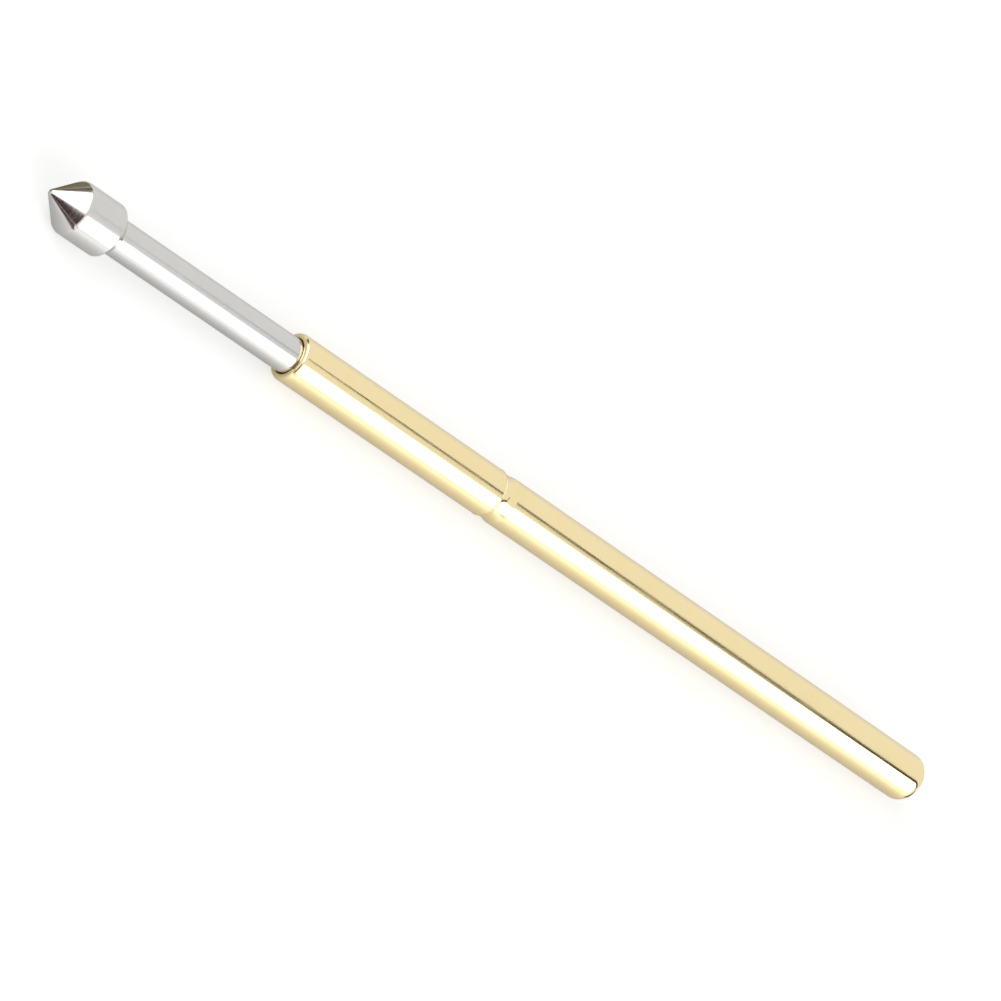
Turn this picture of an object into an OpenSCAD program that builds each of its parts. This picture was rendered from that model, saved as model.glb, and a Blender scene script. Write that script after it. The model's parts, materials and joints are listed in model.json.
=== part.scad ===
// Spring test probe, or pogo pin: a turned plunger with a conical head slides in a drawn
// tube against a coil spring. Millimetres. The probe lies along X, with its tip toward -X
// and its closed tail toward +X. The origin is on the axis, where a socket grips the barrel.

/* [Barrel] */
// Outside diameter of the barrel
barrel_d = 1.36; // [1.3:0.01:1.45]
// Thickness of the drawn tube's wall
wall = 0.16; // [0.12:0.01:0.18]
// Length of the barrel, from its mouth to its tail
barrel_length = 24.7; // [23.5:0.1:28]
// Thickness of the closed end at the tail
end_wall = 0.26; // [0.2:0.01:0.4]
// Rounding of the closed tail
tail_round = 0.42; // [0.2:0.01:0.5]
// Rounding of the mouth's outer edge
mouth_round = 0.12; // [0.04:0.01:0.14]
// Chamfer inside the mouth
mouth_chamfer = 0.02; // [0.01:0.005:0.03]

/* [Rolled groove] */
// How far the groove is rolled into the barrel
groove_depth = 0.045; // [0.04:0.005:0.08]
// Width of the groove at the barrel's surface, before its shoulders are rounded
groove_width = 0.46; // [0.44:0.02:0.6]
// Rounding of the groove's two shoulders
groove_shoulder = 0.2; // [0.1:0.01:0.3]

/* [Plunger] */
// Full travel of the plunger
travel = 6.35; // [5.5:0.05:6.8]
// Diameter of the head
head_d = 1.5; // [1.4:0.02:1.9]
// Angle of the conical tip, measured across the whole cone
tip_angle = 80; // [60:1:100]
// Rounding of the very tip
tip_round = 0.12; // [0.05:0.01:0.2]
// Length of the head's straight collar
collar_length = 1.18; // [0.8:0.02:1.4]
// Angle of the slope behind the collar, measured from the axis
shoulder_angle = 45; // [30:1:60]
// Length of shaft that the mouth guides at rest
front_guide = 1.05; // [0.6:0.05:1.6]
// Length of the guiding land at the plunger's tail
tail_land = 1.6; // [1:0.05:2]
// Chamfer at the plunger's tail
tail_chamfer = 0.05; // [0.02:0.01:0.1]

/* [Spring] */
// Diameter of the spring wire
wire_d = 0.16; // [0.12:0.01:0.18]
// Touching turns at each end of the spring
closed_turns = 1.5; // [1:0.5:3]
// Share of the space at full travel that the closed spring may fill
spring_fill = 0.9; // [0.7:0.01:0.95]

/* [Clearances] */
// Radial clearance between shaft and bore
running_clearance = 0.02; // [0.01:0.005:0.04]
// Radial clearance between neck and bead, and between spring and bore
free_clearance = 0.05; // [0.03:0.01:0.08]
// Play left along the axis at each stop and at each end of the spring
stop_clearance = 0.04; // [0.02:0.01:0.1]

/* [Hidden] */

// Faces round a revolve, sides of the wire, and rings in a turn of it
round_fn = 96;
wire_sides = 6;
rings_per_turn = 10;
// Share of the wire left open between turns that touch
turn_gap = 0.04;
// How far two touching arcs run into each other, so that no sliver is left between them
arc_overlap = 0.00002;

gold = [0.93, 0.80, 0.50];
nickel = [0.78, 0.77, 0.76];
spring_steel = [0.62, 0.62, 0.64];

// Barrel
barrel_r = barrel_d / 2;
bore_r = barrel_r - wall;
cavity_length = barrel_length - end_wall;
cavity_round = min(tail_round / 2, free_clearance + wire_d / 2);

// The groove and the bead inside it are arcs about one centre, a wall's thickness apart.
// Each shoulder is an arc that touches the barrel's side and the groove's own arc.
groove_r = (pow(groove_width / 2, 2) + pow(groove_depth, 2)) / (2 * groove_depth);
groove_centre_r = barrel_r - groove_depth + groove_r;
bead_r = groove_r + wall;
bead_inner_r = groove_centre_r - bead_r;
bead_half_width = sqrt(pow(bead_r, 2) - pow(groove_centre_r - bore_r, 2));
shoulder_centre_r = barrel_r - groove_shoulder;
groove_reach = sqrt(
    pow(groove_r + groove_shoulder - arc_overlap, 2)
    - pow(groove_centre_r - shoulder_centre_r, 2)
);

// Plunger: radii, then places along the axis, measured from the barrel's mouth
shaft_r = bore_r - running_clearance;
neck_r = bead_inner_r - free_clearance;
head_r = head_d / 2;
half_tip_angle = tip_angle / 2;
cone_length = head_r / tan(half_tip_angle) - tip_round * (1 / sin(half_tip_angle) - 1);
shoulder_length = (head_r - shaft_r) / tan(shoulder_angle);
neck_slope = shaft_r - neck_r;
shoulder_x = -travel - stop_clearance;
collar_end_x = shoulder_x - shoulder_length;
collar_start_x = collar_end_x - collar_length;
tip_x = collar_start_x - cone_length;
groove_x = front_guide + neck_slope + travel + bead_half_width + stop_clearance;
land_catch = sqrt(pow(bead_r, 2) - pow(groove_centre_r - shaft_r, 2));
land_x = groove_x + land_catch + stop_clearance;
plunger_end_x = land_x + tail_land;

// Spring: it fills the space behind the plunger, and its turns leave room for full travel
spring_start_x = plunger_end_x + stop_clearance;
spring_end_x = cavity_length - stop_clearance;
spring_length = spring_end_x - spring_start_x;
coil_r = bore_r - free_clearance - wire_d / 2;
turns = floor((spring_length - travel) * spring_fill / wire_d);
closed_pitch = wire_d * (1 + turn_gap);

// The socket grips the straight stretch behind the groove, and the origin is at its middle
grip_start_x = groove_x + groove_reach;
grip_end_x = barrel_length - tail_round;
grip_x = (grip_start_x + grip_end_x) / 2;

// Turns a profile drawn as (radius, place along the axis) into a solid along X
module turned() {
    translate([-grip_x, 0, 0])
        rotate([0, 90, 0])
            rotate_extrude($fn = round_fn)
                children();
}

// A half section from the axis out to a radius, with its far outer corner rounded
module round_ended(radius, start, end, corner) {
    translate([0, start])
        square([radius, end - start - corner]);
    translate([0, end - corner])
        square([radius - corner, corner]);
    intersection() {
        translate([radius - corner, end - corner])
            circle(r = corner, $fn = round_fn);
        translate([0, start])
            square([radius, end - start]);
    }
}

// The barrel's outer half section, with both ends rounded
module barrel_outline() {
    middle = barrel_length / 2;
    round_ended(barrel_r, middle, barrel_length, tail_round);
    translate([0, middle])
        mirror([0, 1])
            round_ended(barrel_r, 0, middle, mouth_round);
}

// A circle about the groove's centre
module groove_circle(radius) {
    translate([groove_centre_r, groove_x])
        circle(r = radius, $fn = round_fn);
}

// What rounds one shoulder: the corner that its arc leaves between barrel and groove
module shoulder_corner() {
    shoulder_centre = [shoulder_centre_r, groove_reach];
    difference() {
        polygon([shoulder_centre, [barrel_r, groove_reach], [groove_centre_r, 0]]);
        translate(shoulder_centre)
            circle(r = groove_shoulder, $fn = round_fn);
    }
}

// The groove with both its shoulders
module groove_outline() {
    groove_circle(groove_r);
    translate([0, groove_x]) {
        shoulder_corner();
        mirror([0, 1])
            shoulder_corner();
    }
}

// The bore from its chamfered mouth to the closed end, less the bead behind the groove
module cavity_outline() {
    polygon([[0, 0], [bore_r + mouth_chamfer, 0], [0, bore_r + mouth_chamfer]]);
    difference() {
        round_ended(bore_r, 0, cavity_length, cavity_round);
        groove_circle(bead_r);
    }
}

// Drawn tube: open mouth, rolled groove, closed round tail
module barrel() {
    color(gold)
        turned()
            difference() {
                barrel_outline();
                groove_outline();
                cavity_outline();
            }
}

// Plunger's half section behind its round tip
function plunger_points() = [
    [0, tip_x + tip_round],
    [tip_round * cos(half_tip_angle), tip_x + tip_round * (1 - sin(half_tip_angle))],
    [head_r, collar_start_x],
    [head_r, collar_end_x],
    [shaft_r, shoulder_x],
    [shaft_r, front_guide],
    [neck_r, front_guide + neck_slope],
    [neck_r, land_x],
    [shaft_r, land_x],
    [shaft_r, plunger_end_x - tail_chamfer],
    [shaft_r - tail_chamfer, plunger_end_x],
    [0, plunger_end_x],
];

// Turned pin: cone, collar and shaft outside, neck and tail land inside
module plunger() {
    color(nickel)
        turned() {
            polygon(plunger_points());
            intersection() {
                translate([0, tip_x + tip_round])
                    circle(r = tip_round, $fn = round_fn);
                translate([0, tip_x])
                    square([head_r, tip_round * 2]);
            }
        }
}

// How far along the spring its wire has got after t turns: close at the ends, open between
function open_pitch() =
    (spring_length - wire_d - 2 * closed_turns * closed_pitch) / (turns - 2 * closed_turns);
function rise(t) =
    closed_pitch * min(t, closed_turns)
    + open_pitch() * max(0, min(t, turns - closed_turns) - closed_turns)
    + closed_pitch * max(0, t - turns + closed_turns);

// One ring of the wire, after t turns
function wire_ring(t) = [
    for (side = [0 : wire_sides - 1])
        let (around = 360 * side / wire_sides, r = coil_r + wire_d / 2 * cos(around))
            [
                spring_start_x - grip_x + wire_d / 2 + rise(t) + wire_d / 2 * sin(around),
                r * cos(360 * t),
                r * sin(360 * t),
            ]
];

// Coil spring: one wire swept along a helix
module spring() {
    rings = turns * rings_per_turn;
    last = rings * wire_sides;
    points = [for (ring = [0 : rings]) each wire_ring(ring / rings_per_turn)];
    sides = [
        for (ring = [0 : rings - 1], side = [0 : wire_sides - 1])
            let (a = ring * wire_sides + side, b = ring * wire_sides + (side + 1) % wire_sides)
                [a, b, b + wire_sides, a + wire_sides]
    ];
    start_cap = [for (side = [wire_sides - 1 : -1 : 0]) side];
    end_cap = [for (side = [0 : wire_sides - 1]) last + side];
    color(spring_steel)
        polyhedron(points, concat(sides, [start_cap, end_cap]), convexity = 10);
}

barrel();
plunger();
spring();
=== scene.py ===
# %% [markdown]
# # A spring test probe, from frame to finish
# This lesson dresses a spring test probe, a pin about 33 mm long that presses on a circuit
# board to test it. It has three pieces: a drawn tube plated with gold, a turned pin plated
# with nickel, and a coil spring inside the tube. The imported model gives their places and
# overall sizes, so it is loaded first, and nothing in it is moved.

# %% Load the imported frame
import json
import math

import bmesh
import bpy
from mathutils import Matrix, Quaternion, Vector


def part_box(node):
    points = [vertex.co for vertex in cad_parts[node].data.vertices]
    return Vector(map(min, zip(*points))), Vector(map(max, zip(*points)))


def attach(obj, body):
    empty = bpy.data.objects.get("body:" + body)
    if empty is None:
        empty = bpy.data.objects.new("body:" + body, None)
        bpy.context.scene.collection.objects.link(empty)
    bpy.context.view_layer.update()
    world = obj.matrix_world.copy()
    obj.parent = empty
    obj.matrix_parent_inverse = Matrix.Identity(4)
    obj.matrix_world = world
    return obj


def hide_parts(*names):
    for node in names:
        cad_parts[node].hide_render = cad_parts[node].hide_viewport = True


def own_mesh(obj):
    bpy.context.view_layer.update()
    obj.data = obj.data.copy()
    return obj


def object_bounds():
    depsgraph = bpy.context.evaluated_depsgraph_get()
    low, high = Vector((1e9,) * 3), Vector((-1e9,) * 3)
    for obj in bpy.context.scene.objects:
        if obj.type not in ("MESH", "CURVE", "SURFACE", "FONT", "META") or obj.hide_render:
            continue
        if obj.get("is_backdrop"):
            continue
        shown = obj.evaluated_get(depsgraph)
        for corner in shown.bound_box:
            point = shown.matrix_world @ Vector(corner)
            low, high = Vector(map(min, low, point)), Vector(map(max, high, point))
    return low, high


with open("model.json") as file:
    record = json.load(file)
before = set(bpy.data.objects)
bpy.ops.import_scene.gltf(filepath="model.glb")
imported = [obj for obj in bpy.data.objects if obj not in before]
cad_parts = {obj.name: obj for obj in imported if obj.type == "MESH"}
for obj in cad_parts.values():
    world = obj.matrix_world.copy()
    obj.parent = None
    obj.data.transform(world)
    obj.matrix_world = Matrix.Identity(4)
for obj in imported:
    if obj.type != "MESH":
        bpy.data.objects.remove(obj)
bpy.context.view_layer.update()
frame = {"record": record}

# %% [markdown]
# ## Sizes
# Blender works in metres here, and the probe is small, so `MM` turns millimetres into
# metres. Overall sizes are read from the frame. What a bounding box can't tell, such as
# walls, roundings and clearances, is written down where it is first needed.

# %% Read the driving sizes
MM = 0.001
barrel_low, barrel_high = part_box("barrel")
plunger_low, plunger_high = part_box("plunger")
spring_low, spring_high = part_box("spring")

mouth_x, tail_x = barrel_low.x, barrel_high.x
barrel_r = barrel_high.z
tip_x, plunger_end_x = plunger_low.x, plunger_high.x
head_r = plunger_high.z
seat_length = frame["record"]["mounts"][0]["dims"]["length_mm"] * MM

# %% [markdown]
# ## A helper for turned pieces
# The tube and the pin are both round about one line, so each is half a section spun about
# the X axis. The section needs only its corners. A vertex bevel rounds each corner while
# the section is still a wire, which is cheaper and cleaner than rounding the solid later.
# A long smooth side shades badly when a tiny bevel sits at its end, because the two share
# normals, so every long side gets a holding point close to each end.

# %% Define the turning helper
SPIN_STEPS = 192
HOLD = 0.012 * MM
LONG_SIDE = 0.08 * MM
WELD = 0.00002 * MM


def add_piece(name, bm):
    """Turns a finished bmesh into an object of the scene, and frees the bmesh."""
    mesh = bpy.data.meshes.new(name)
    bm.to_mesh(mesh)
    open_edges = sum(1 for e in bm.edges if not e.is_manifold)
    bm.free()
    piece = bpy.data.objects.new(name, mesh)
    bpy.context.scene.collection.objects.link(piece)
    print(f"{name}: {len(mesh.polygons)} faces, {open_edges} open edges")
    return piece


def round_corner(bm, corner, before, after, radius, segments):
    """Rounds one corner of a wire section with an arc of this radius."""
    if radius <= 0:
        return
    turn = (corner.co - before).angle(after - corner.co)
    reach = radius * math.tan(turn / 2)
    bmesh.ops.bevel(
        bm, geom=[corner], offset=reach, offset_type="OFFSET",
        segments=segments, profile=0.5, affect="VERTICES", material=-1,
    )


def hold_long_sides(bm):
    """Adds a point near both ends of each long side of a wire section."""
    for side in [e for e in bm.edges if e.calc_length() > LONG_SIDE]:
        start, end = side.verts
        bmesh.utils.edge_split(side, start, HOLD / side.calc_length())
        rest = max(end.link_edges, key=lambda e: e.calc_length())
        bmesh.utils.edge_split(rest, end, HOLD / rest.calc_length())


def turned_piece(name, corners):
    """A solid of revolution about X. corners holds (x, radius, rounding, segments)."""
    bm = bmesh.new()
    points = [bm.verts.new((x, 0, r)) for x, r, _, _ in corners]
    for a, b in zip(points, points[1:]):
        bm.edges.new((a, b))
    places = [p.co.copy() for p in points]
    for i in range(1, len(points) - 1):
        rounding, segments = corners[i][2:]
        round_corner(bm, points[i], places[i - 1], places[i + 1], rounding, segments)
    hold_long_sides(bm)
    bmesh.ops.spin(
        bm, geom=bm.verts[:] + bm.edges[:], axis=(1, 0, 0), cent=(0, 0, 0),
        angle=math.tau, steps=SPIN_STEPS, use_merge=True, use_duplicate=False,
    )
    bmesh.ops.remove_doubles(bm, verts=bm.verts[:], dist=WELD)
    bmesh.ops.recalc_face_normals(bm, faces=bm.faces[:])
    for face in bm.faces:
        face.smooth = True
    return add_piece(name, bm)


print("sections are spun in", SPIN_STEPS, "steps")

# %% [markdown]
# ## The barrel
# The barrel is a drawn tube with a closed, rounded tail. Near its middle a wheel has rolled
# a shallow groove into it, which raises a bead inside that keeps the plunger in. The mouth
# is turned in a little, so its outer edge is round. Cutting the groove into a finished tube
# would leave hard shoulders, so it is drawn in the section, as three large roundings that
# run into each other. The section starts on the axis at the tail, runs outside to the mouth
# and comes back inside the bore.

# %% Turn the barrel
wall = 0.16 * MM
end_wall = 0.26 * MM
tail_round = 0.42 * MM
cavity_round = 0.13 * MM
mouth_round = 0.12 * MM
mouth_chamfer = 0.02 * MM
groove_depth = 0.045 * MM
groove_half_width = 0.23 * MM
groove_shoulder = 0.2 * MM
ARC_STEPS = 16
CHAMFER_STEPS = 3
# An arc that would just reach the next corner is made smaller, so that no points coincide
SHY = 0.98

bore_r = barrel_r - wall
groove_r = (groove_half_width**2 + groove_depth**2) / (2 * groove_depth)
groove_centre_r = barrel_r - groove_depth + groove_r
slope = math.acos((groove_centre_r - barrel_r + groove_shoulder) / (groove_r + groove_shoulder))
groove_reach = (groove_r + groove_shoulder) * math.sin(slope)
groove_x = -seat_length / 2 - groove_reach
shoulder_half = groove_reach - groove_shoulder * math.tan(slope / 2)
bead_r = groove_r + wall
bead_slope = math.acos((groove_centre_r - bore_r) / bead_r)
bead_half = bead_r * math.sin(bead_slope)
bead_drop = bead_half * math.tan(bead_slope)

barrel = turned_piece(
    "barrel_tube",
    [
        (tail_x, 0, 0, 0),
        (tail_x, barrel_r, tail_round, ARC_STEPS * 2),
        (groove_x + shoulder_half, barrel_r, groove_shoulder, ARC_STEPS),
        (groove_x, barrel_r - shoulder_half * math.tan(slope), groove_r, ARC_STEPS),
        (groove_x - shoulder_half, barrel_r, groove_shoulder, ARC_STEPS),
        (mouth_x, barrel_r, mouth_round, ARC_STEPS),
        (mouth_x, bore_r + mouth_chamfer, mouth_chamfer / 2, CHAMFER_STEPS),
        (mouth_x + mouth_chamfer, bore_r, mouth_chamfer / 2, CHAMFER_STEPS),
        (groove_x - bead_half, bore_r, 0, 0),
        (groove_x, bore_r - bead_drop, bead_r * SHY, ARC_STEPS),
        (groove_x + bead_half, bore_r, 0, 0),
        (tail_x - end_wall, bore_r, cavity_round, ARC_STEPS),
        (tail_x - end_wall, 0, 0, 0),
    ],
)

# %% [markdown]
# ## The plunger
# The plunger is turned from bar. Outside it has a conical head that bites the board, a
# straight collar and a slope down to the shaft. Inside the barrel a thinner neck lets it
# slide past the bead, and a land at its tail is what the bead catches. A turned edge is
# never quite sharp, so most are broken by a hair, which gives them a line of light. The
# collar's two edges are rounder, the front one most, and show as wider lines.

# %% Turn the plunger
running_clearance = 0.02 * MM
free_clearance = 0.05 * MM
half_tip_angle = math.radians(40)
tip_round = 0.12 * MM
collar_length = 1.18 * MM
front_guide = 1.05 * MM
tail_land = 1.6 * MM
tail_chamfer = 0.05 * MM
EDGE_BREAK = 0.014 * MM
FRONT_BREAK = 0.18 * MM
BACK_BREAK = 0.07 * MM
EDGE_STEPS = 5

shaft_r = bore_r - running_clearance
neck_r = groove_centre_r - bead_r - free_clearance
tip_flat = tip_round * math.tan((math.pi / 2 - half_tip_angle) / 2)
cone_length = head_r / math.tan(half_tip_angle)
cone_length -= tip_round * (1 / math.sin(half_tip_angle) - 1)
collar_x = tip_x + cone_length
shoulder_x = collar_x + collar_length
shaft_x = shoulder_x + head_r - shaft_r
neck_x = mouth_x + front_guide
land_x = plunger_end_x - tail_land

plunger = turned_piece(
    "plunger_pin",
    [
        (tip_x, 0, 0, 0),
        (tip_x, tip_flat, tip_round * SHY, ARC_STEPS),
        (collar_x, head_r, FRONT_BREAK, ARC_STEPS),
        (shoulder_x, head_r, BACK_BREAK, EDGE_STEPS),
        (shaft_x, shaft_r, EDGE_BREAK, EDGE_STEPS),
        (neck_x, shaft_r, EDGE_BREAK, EDGE_STEPS),
        (neck_x + shaft_r - neck_r, neck_r, EDGE_BREAK, EDGE_STEPS),
        (land_x, neck_r, 0, 0),
        (land_x, shaft_r, EDGE_BREAK, EDGE_STEPS),
        (plunger_end_x - tail_chamfer, shaft_r, 0, 0),
        (plunger_end_x, shaft_r - tail_chamfer, 0, 0),
        (plunger_end_x, 0, 0, 0),
    ],
)

# %% [markdown]
# ## The spring
# The spring is one wire wound into a helix, close at both ends so that they sit flat, and
# open between. `spin` can also move along its axis while it turns, which sweeps a ring of
# wire into a helix: three sweeps with different rises make the closed, open and closed
# stretches. The barrel hides it, but it is there.

# %% Wind the spring
wire_d = 0.16 * MM
turns = 47
closed_turns = 1.5
# Rise of a closed turn, as a share of the wire's thickness: a hair more than touching
CLOSED_SHARE = 1.04
TURN_STEPS = 24
WIRE_SIDES = 10

coil_r = bore_r - free_clearance - wire_d / 2
spring_length = spring_high.x - spring_low.x
closed_rise = wire_d * CLOSED_SHARE
open_turns = turns - 2 * closed_turns
open_rise = (spring_length - wire_d - 2 * closed_turns * closed_rise) / open_turns
stretches = [
    (closed_turns, closed_rise),
    (open_turns, open_rise),
    (closed_turns, closed_rise),
]

bm = bmesh.new()
bmesh.ops.create_circle(bm, cap_ends=True, segments=WIRE_SIDES, radius=wire_d / 2)
upright = Quaternion((1, 0, 0), math.pi / 2).to_matrix()
bmesh.ops.rotate(bm, verts=bm.verts[:], cent=(0, 0, 0), matrix=upright)
bmesh.ops.translate(bm, verts=bm.verts[:], vec=(spring_low.x + wire_d / 2, 0, coil_r))
front = bm.faces[:]
for count, rise in stretches:
    swept = bmesh.ops.spin(
        bm, geom=front, axis=(1, 0, 0), cent=(0, 0, 0), dvec=(rise / TURN_STEPS, 0, 0),
        angle=math.tau * count, steps=round(count * TURN_STEPS),
        use_merge=False, use_duplicate=False,
    )
    front = [g for g in swept["geom_last"] if isinstance(g, bmesh.types.BMFace)]
bmesh.ops.recalc_face_normals(bm, faces=bm.faces[:])
for face in bm.faces:
    face.smooth = len(face.verts) == 4
spring = add_piece("spring_coil", bm)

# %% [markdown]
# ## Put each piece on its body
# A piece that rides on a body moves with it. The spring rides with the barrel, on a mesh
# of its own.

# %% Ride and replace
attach(barrel, "barrel")
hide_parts("barrel")
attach(plunger, "plunger")
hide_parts("plunger")
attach(spring, "barrel")
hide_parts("spring")
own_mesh(spring)

# %% [markdown]
# ## Shared effects
# Two effects are used by more than one metal, so each is a node group. `fine_lines` gives
# the marks of drawing or turning: noise squeezed along one direction. `plating_cloud` gives
# the slow, faint unevenness that every plated surface has. Both read coordinates in
# millimetres, so that their scales are easy to think about.

# %% Build the node groups
def new_group(name, inputs, outputs):
    """An empty node group with these sockets, then its input and output nodes."""
    group = bpy.data.node_groups.new(name, "ShaderNodeTree")
    for label, kind in inputs:
        group.interface.new_socket(label, in_out="INPUT", socket_type=kind)
    for label, kind in outputs:
        group.interface.new_socket(label, in_out="OUTPUT", socket_type=kind)
    return group, group.nodes.new("NodeGroupInput"), group.nodes.new("NodeGroupOutput")


def add_noise(group, detail, roughness):
    """A noise texture in a group."""
    noise = group.nodes.new("ShaderNodeTexNoise")
    noise.inputs["Detail"].default_value = detail
    noise.inputs["Roughness"].default_value = roughness
    return noise


def fine_lines_group():
    """Noise stretched by the given vector: lines along it, or rings round it."""
    group, inside, outside = new_group(
        "fine_lines",
        [("Coordinates", "NodeSocketVector"), ("Stretch", "NodeSocketVector")],
        [("Lines", "NodeSocketFloat")],
    )
    stretched = group.nodes.new("ShaderNodeVectorMath")
    stretched.operation = "MULTIPLY"
    noise = add_noise(group, detail=4, roughness=0.65)
    noise.inputs["Scale"].default_value = 1
    group.links.new(inside.outputs["Coordinates"], stretched.inputs[0])
    group.links.new(inside.outputs["Stretch"], stretched.inputs[1])
    group.links.new(stretched.outputs[0], noise.inputs["Vector"])
    group.links.new(noise.outputs["Fac"], outside.inputs["Lines"])
    return group


def plating_cloud_group():
    """Slow variation that shades a colour and a roughness between two limits."""
    group, inside, outside = new_group(
        "plating_cloud",
        [("Coordinates", "NodeSocketVector"), ("Size", "NodeSocketFloat")],
        [("Cloud", "NodeSocketFloat")],
    )
    noise = add_noise(group, detail=3, roughness=0.55)
    group.links.new(inside.outputs["Coordinates"], noise.inputs["Vector"])
    group.links.new(inside.outputs["Size"], noise.inputs["Scale"])
    group.links.new(noise.outputs["Fac"], outside.inputs["Cloud"])
    return group


fine_lines = fine_lines_group()
plating_cloud = plating_cloud_group()
print("groups", [g.name for g in bpy.data.node_groups])

# %% [markdown]
# ## The metals
# Plated metal is a mirror first and a colour second: the Principled shader is fully
# metallic, with a low roughness that the lines and clouds vary a little. The lines also
# feed a Bump node whose distance is a fraction of a micron, so that they catch the light
# without looking carved.

# %% Define a plated metal
# Lines times cloud between these two is spread over the two limits of the roughness
LINES_TIMES_CLOUD = (0.1, 0.45)


def add_map_range(nodes, from_limits, to_limits):
    """A Map Range node between two pairs of limits."""
    spread = nodes.new("ShaderNodeMapRange")
    spread.inputs["From Min"].default_value = from_limits[0]
    spread.inputs["From Max"].default_value = from_limits[1]
    spread.inputs["To Min"].default_value = to_limits[0]
    spread.inputs["To Max"].default_value = to_limits[1]
    return spread


def add_product(nodes, links, first, second):
    """Multiplies two sockets, and returns the socket that holds the product."""
    product = nodes.new("ShaderNodeMath")
    product.operation = "MULTIPLY"
    links.new(first, product.inputs[0])
    links.new(second, product.inputs[1])
    return product.outputs[0]


def plated_metal(name, pale, deep, stretch, roughness, line_depth, cloud_size):
    """A plated metal: two close colours, lines by stretch, roughness between two limits."""
    material = bpy.data.materials.new(name)
    material.use_nodes = True
    nodes, links = material.node_tree.nodes, material.node_tree.links
    shader = nodes["Principled BSDF"]
    shader.inputs["Metallic"].default_value = 1

    place = nodes.new("ShaderNodeTexCoord")
    in_mm = nodes.new("ShaderNodeVectorMath")
    in_mm.operation = "SCALE"
    in_mm.inputs["Scale"].default_value = 1 / MM
    links.new(place.outputs["Object"], in_mm.inputs[0])

    lines = nodes.new("ShaderNodeGroup")
    lines.node_tree = fine_lines
    lines.inputs["Stretch"].default_value = stretch
    links.new(in_mm.outputs[0], lines.inputs["Coordinates"])

    cloud = nodes.new("ShaderNodeGroup")
    cloud.node_tree = plating_cloud
    cloud.inputs["Size"].default_value = cloud_size
    links.new(in_mm.outputs[0], cloud.inputs["Coordinates"])

    colour = nodes.new("ShaderNodeMix")
    colour.data_type = "RGBA"
    colour.inputs["A"].default_value = (*pale, 1)
    colour.inputs["B"].default_value = (*deep, 1)
    links.new(cloud.outputs["Cloud"], colour.inputs["Factor"])
    links.new(colour.outputs["Result"], shader.inputs["Base Color"])

    both = add_product(nodes, links, lines.outputs["Lines"], cloud.outputs["Cloud"])
    spread = add_map_range(nodes, LINES_TIMES_CLOUD, roughness)
    links.new(both, spread.inputs["Value"])
    links.new(spread.outputs["Result"], shader.inputs["Roughness"])

    bump = nodes.new("ShaderNodeBump")
    bump.inputs["Strength"].default_value = 1
    bump.inputs["Distance"].default_value = line_depth
    links.new(lines.outputs["Lines"], bump.inputs["Height"])
    links.new(bump.outputs["Normal"], shader.inputs["Normal"])
    return material


print("roughness spreads lines times cloud from", LINES_TIMES_CLOUD)

# %% Plate the three pieces
gold_plate = plated_metal(
    "gold_plate", pale=(0.955, 0.805, 0.475), deep=(0.92, 0.755, 0.405),
    stretch=(0.15, 26, 26), roughness=(0.06, 0.14), line_depth=0.0006 * MM, cloud_size=0.9,
)
nickel_plate = plated_metal(
    "nickel_plate", pale=(0.70, 0.685, 0.665), deep=(0.64, 0.625, 0.60),
    stretch=(30, 1.2, 1.2), roughness=(0.12, 0.24), line_depth=0.0004 * MM, cloud_size=1.4,
)
spring_wire = plated_metal(
    "spring_wire", pale=(0.56, 0.56, 0.58), deep=(0.48, 0.48, 0.50),
    stretch=(6, 6, 6), roughness=(0.22, 0.36), line_depth=0.0005 * MM, cloud_size=2.0,
)
for piece, metal in ((barrel, gold_plate), (plunger, nickel_plate), (spring, spring_wire)):
    piece.data.materials.clear()
    piece.data.materials.append(metal)
print("metals", [m.name for m in (gold_plate, nickel_plate, spring_wire)])

# %% [markdown]
# ## Flat sheets for the stage
# The floor, and the cards that come later, are flat sheets round the probe and no part of
# it. All are made alike: one square, which a matrix stretches, turns and puts in place. So
# a sheet is told only its middle and its two sides.

# %% Define the sheet helpers
def matt_material(name, colour):
    """A matt material of one colour."""
    material = bpy.data.materials.new(name)
    material.use_nodes = True
    shader = material.node_tree.nodes["Principled BSDF"]
    shader.inputs["Base Color"].default_value = (*colour, 1)
    shader.inputs["Roughness"].default_value = 1
    return material


def stage_sheet(name, middle, long_side, short_side, material):
    """A flat sheet of the stage, from its middle and its two sides."""
    bm = bmesh.new()
    bmesh.ops.create_grid(bm, x_segments=1, y_segments=1, size=0.5)
    place = Matrix((long_side, short_side, long_side.cross(short_side))).transposed().to_4x4()
    place.translation = middle
    bmesh.ops.transform(bm, verts=bm.verts[:], matrix=place)
    mesh = bpy.data.meshes.new(name)
    bm.to_mesh(mesh)
    bm.free()
    mesh.materials.append(material)
    sheet = bpy.data.objects.new(name, mesh)
    bpy.context.scene.collection.objects.link(sheet)
    sheet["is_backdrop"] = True
    return sheet


floor_z = -head_r
print("floor level", round(floor_z / MM, 3), "mm")

# %% [markdown]
# ## The paper floor
# The floor is white paper. For camera and mirror rays it gives off some light of its own,
# which lifts it to white without putting more light on the probe, and its diffuse share
# still takes the probe's shadow. For mirror rays the lift also holds painted shade: it
# fades next to the probe and falls off from the front of the probe to its back, so that
# the metal mirrors a floor that is darker near the probe and on its far side.

# %% Make the paper
PAPER = (0.50, 0.50, 0.497)
PAPER_GLOW = (1, 1, 0.99)
PAPER_LIFT = 0.60
# Painted shade for mirrors: how far from the probe the lift starts and stops growing, and its
# two values
FADE_AWAY = (0.5 * MM, 5 * MM)
SHADED_MIRROR_LIFT = (0.22, 0.85)
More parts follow.
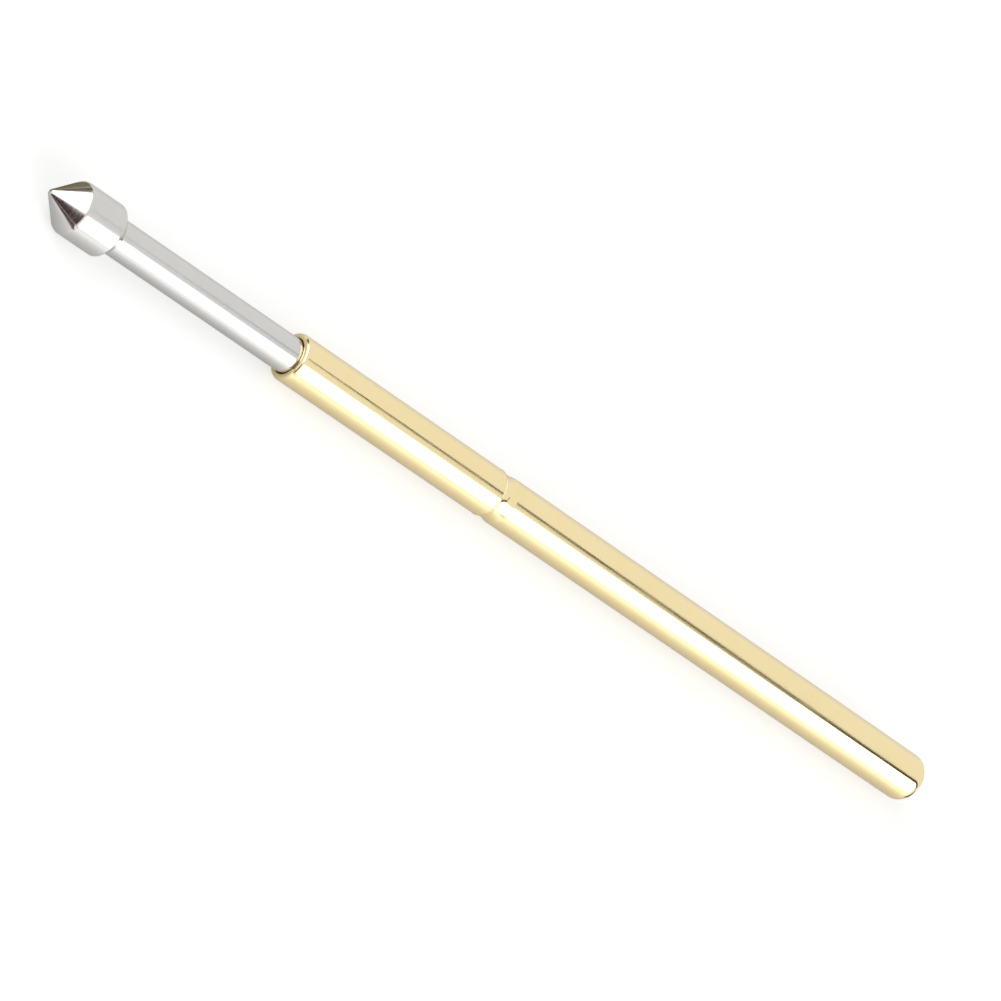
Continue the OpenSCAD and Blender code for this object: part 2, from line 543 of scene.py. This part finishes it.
# Painted shade on the far side: where across the probe the mirrored lift starts and ends
# falling off, and what is left of it
FRONT_TO_BACK = (-2 * MM, 2 * MM)
BACK_SHADE_SHARE = (1, 0.45)

paper = matt_material("white_paper", PAPER)
nodes, links = paper.node_tree.nodes, paper.node_tree.links
shader = nodes["Principled BSDF"]
shader.inputs["Specular IOR Level"].default_value = 0
shader.inputs["Emission Color"].default_value = (*PAPER_GLOW, 1)

place = nodes.new("ShaderNodeTexCoord")
past_tip = nodes.new("ShaderNodeVectorMath")
past_tip.operation = "MAXIMUM"
past_tip.inputs[1].default_value = (tip_x, 0, floor_z)
beside = nodes.new("ShaderNodeVectorMath")
beside.operation = "MINIMUM"
beside.inputs[1].default_value = (tail_x, 0, floor_z)
away = nodes.new("ShaderNodeVectorMath")
away.operation = "DISTANCE"
links.new(place.outputs["Object"], past_tip.inputs[0])
links.new(past_tip.outputs[0], beside.inputs[0])
links.new(place.outputs["Object"], away.inputs[0])
links.new(beside.outputs[0], away.inputs[1])
# Painted shade for mirror rays: the lift is smallest next to the probe's line and grows away
# from it
fade = add_map_range(nodes, FADE_AWAY, SHADED_MIRROR_LIFT)
links.new(away.outputs["Value"], fade.inputs["Value"])

split = nodes.new("ShaderNodeSeparateXYZ")
links.new(place.outputs["Object"], split.inputs[0])
# Painted shade for mirror rays: the lift falls off from the probe's front to its back
behind = add_map_range(nodes, FRONT_TO_BACK, BACK_SHADE_SHARE)
links.new(split.outputs["Y"], behind.inputs["Value"])
painted_shade_lift = add_product(nodes, links, fade.outputs["Result"], behind.outputs["Result"])

ray = nodes.new("ShaderNodeLightPath")
mirrored = add_product(nodes, links, ray.outputs["Is Glossy Ray"], painted_shade_lift)
lift = nodes.new("ShaderNodeMath")
lift.operation = "MULTIPLY_ADD"
lift.inputs[1].default_value = PAPER_LIFT
links.new(ray.outputs["Is Camera Ray"], lift.inputs[0])
links.new(mirrored, lift.inputs[2])
links.new(lift.outputs[0], shader.inputs["Emission Strength"])
print("paper lift", PAPER_LIFT)

# %% Lay the floor
FLOOR_SIZE = 3.0
stage_sheet(
    "paper_floor", Vector((0, 0, floor_z)),
    Vector((FLOOR_SIZE, 0, 0)), Vector((0, FLOOR_SIZE, 0)), paper,
)
print("floor", FLOOR_SIZE, "m wide")

# %% [markdown]
# ## The room
# A mirror shows what stands round it, so a metal part is lit by large plain things. The
# largest is the room. One world colour does for it, with a strength of its own for each
# kind of ray: white for the camera, nearly white for mirrors, and dim as a light, so that
# the lamps still shape the probe.

# %% Set up the room
ROOM_SEEN = 1.0
ROOM_MIRRORED = 0.93
ROOM_LIGHT = 0.45
world = bpy.data.worlds.new("studio")
bpy.context.scene.world = world
world.use_nodes = True
nodes, links = world.node_tree.nodes, world.node_tree.links
background = nodes["Background"]
background.inputs["Color"].default_value = (1, 1, 1, 1)
ray = nodes.new("ShaderNodeLightPath")
seen = nodes.new("ShaderNodeMix")
seen.data_type = "FLOAT"
seen.inputs["A"].default_value = ROOM_LIGHT
seen.inputs["B"].default_value = ROOM_SEEN
links.new(ray.outputs["Is Camera Ray"], seen.inputs["Factor"])
mirrored = nodes.new("ShaderNodeMix")
mirrored.data_type = "FLOAT"
mirrored.inputs["B"].default_value = ROOM_MIRRORED
links.new(ray.outputs["Is Glossy Ray"], mirrored.inputs["Factor"])
links.new(seen.outputs["Result"], mirrored.inputs["A"])
links.new(mirrored.outputs["Result"], background.inputs["Strength"])
print("room strength", ROOM_SEEN, ROOM_MIRRORED, ROOM_LIGHT)

# %% [markdown]
# ## The lamps
# Bright bands along a round bar are wide soft lamps that it mirrors: here one on the
# camera's side and one over the tip. Directions are given by how far along the probe and
# how far round it they lie, because that is how a round bar mirrors them. A lamp faces the
# probe with its width along it, and is then rolled a little.

# %% Hang the lamps
LAMP_DISTANCE = 0.5


def direction(along, around):
    """A unit vector: along is its X share, around its angle from -Y up over the top."""
    across = math.sqrt(1 - along**2)
    angle = math.radians(around)
    return Vector((along, -across * math.cos(angle), across * math.sin(angle)))


def facing_sides(aim):
    """Unit vectors along the two sides of a thing that faces the probe from aim."""
    lengthwise = (Vector((1, 0, 0)) - aim * aim.x).normalized()
    return lengthwise, aim.cross(lengthwise)


def soft_lamp(name, aim, width, height, roll, level):
    """An area lamp towards aim, its width along the probe, as bright as level times white."""
    axes = Matrix((*facing_sides(aim), aim)).transposed()
    rolled = Quaternion((0, 0, 1), math.radians(roll))
    lamp = bpy.data.lights.new(name, "AREA")
    lamp.shape = "RECTANGLE"
    lamp.size, lamp.size_y = width, height
    lamp.energy = level * math.pi * width * height
    holder = bpy.data.objects.new(name, lamp)
    holder.location = aim * LAMP_DISTANCE
    holder.rotation_mode = "QUATERNION"
    holder.rotation_quaternion = axes.to_quaternion() @ rolled
    bpy.context.scene.collection.objects.link(holder)


soft_lamp("side_softbox", direction(0.47, 33), width=0.66, height=0.44, roll=-5, level=1.8)
soft_lamp("tip_softbox", direction(-0.645, 115), width=0.27, height=0.70, roll=-20, level=1.9)
print("lamps at", LAMP_DISTANCE, "m")

# %% [markdown]
# ## The cards
# Metal reads as metal by the dark shapes that it mirrors, and a pale room has none. So
# seven dark cards stand where only mirror rays see them. The cone mirrors four of them, a
# standing card and a floor card on each side, as dark wedges. The floor card on the far
# side is painted shade: it stands for the shaded floor there. Two strips, one above the
# side lamp and one down round its corner, draw the thin dark line along the barrel and its
# curl round the tail. A last narrow strip lies on the floor past the tail.

# %% Define the cards
CARD_DISTANCE = 0.45
CARD_LIFT = 0.01 * MM


def dark_card(name, middle, long_side, short_side, colour):
    """A flat card that only mirror rays see, from its middle and its two sides."""
    card = stage_sheet(name, middle, long_side, short_side, matt_material(name, colour))
    for kind in ("camera", "diffuse", "transmission", "volume_scatter", "shadow"):
        setattr(card, "visible_" + kind, False)


def standing_card(name, aim, width, height, colour):
    """A card that faces the probe from the direction aim, its width along the probe."""
    lengthwise, crosswise = facing_sides(aim)
    dark_card(name, aim * CARD_DISTANCE, lengthwise * width, crosswise * height, colour)


def floor_card(name, middle, long_side, short_side, colour):
    """A card that lies on the floor. Its middle and its sides are X and Y in millimetres."""
    middle, long_side, short_side = (
        Vector((x, y, 0)) * MM for x, y in (middle, long_side, short_side)
    )
    on_floor = Vector((0, 0, floor_z + CARD_LIFT))
    dark_card(name, on_floor + middle, long_side, short_side, colour)


def dark_strip(name, start, end, width, colour):
    """A narrow card from one direction to another."""
    long_side = (end - start) * CARD_DISTANCE
    middle = (end + start) * CARD_DISTANCE / 2
    across = middle.cross(long_side).normalized()
    dark_card(name, middle, long_side, across * width, colour)


print("cards stand", CARD_DISTANCE, "m away")

# %% Stand the cards
MAROON = (0.05, 0.008, 0.008)
OLIVE = (0.22, 0.19, 0.11)
SOOT = (0.09, 0.08, 0.06)
standing_card("near_card", direction(-0.69, 28), width=0.16, height=0.35, colour=MAROON)
floor_card("near_floor_card", (-43.9, -25.3), (-34.8, -45.0), (9.5, -7.3), MAROON)
standing_card("far_card", direction(-0.30, 169), width=0.26, height=0.15, colour=OLIVE)
# Painted shade: a dark floor card that only mirrors see, standing for the shaded floor on the
# far side of the probe, past its tip
floor_card("far_floor_shade_card", (-33.8, 30.5), (20.4, 0), (0, 59), OLIVE)
dark_strip(
    "line_strip", direction(0.535, 94), direction(0.635, 66.5), width=0.022, colour=SOOT,
)
dark_strip("end_strip", direction(0.622, 68), direction(0.99, 12), width=0.06, colour=SOOT)
floor_card("end_floor_card", (34.8, -3.4), (50, -4.9), (0, 1.3), SOOT)

# %% [markdown]
# ## Camera
# The camera looks down at the probe from above its tip, through a long lens, and is rolled
# so that the probe runs down across the picture from left to right.

# %% Place the camera
look_azimuth = math.radians(-52)
look_elevation = math.radians(42)
camera_roll = math.radians(75)
camera_distance = 0.209
lens = 290
clip_near, clip_far = 0.01, 10
back = Vector((
    math.sin(look_azimuth) * math.cos(look_elevation),
    -math.cos(look_azimuth) * math.cos(look_elevation),
    math.sin(look_elevation),
))
unrolled = (-back).to_track_quat("-Z", "Y")
low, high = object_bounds()

camera_data = bpy.data.cameras.new("long_lens")
camera_data.lens = lens
camera_data.clip_start, camera_data.clip_end = clip_near, clip_far
camera = bpy.data.objects.new("camera", camera_data)
camera.location = (low + high) / 2 + back * camera_distance
camera.rotation_mode = "QUATERNION"
camera.rotation_quaternion = unrolled @ Quaternion((0, 0, 1), camera_roll)
bpy.context.scene.collection.objects.link(camera)
bpy.context.scene.camera = camera
bpy.context.scene.view_settings.view_transform = "Standard"
print("camera", [round(c, 4) for c in camera.location])
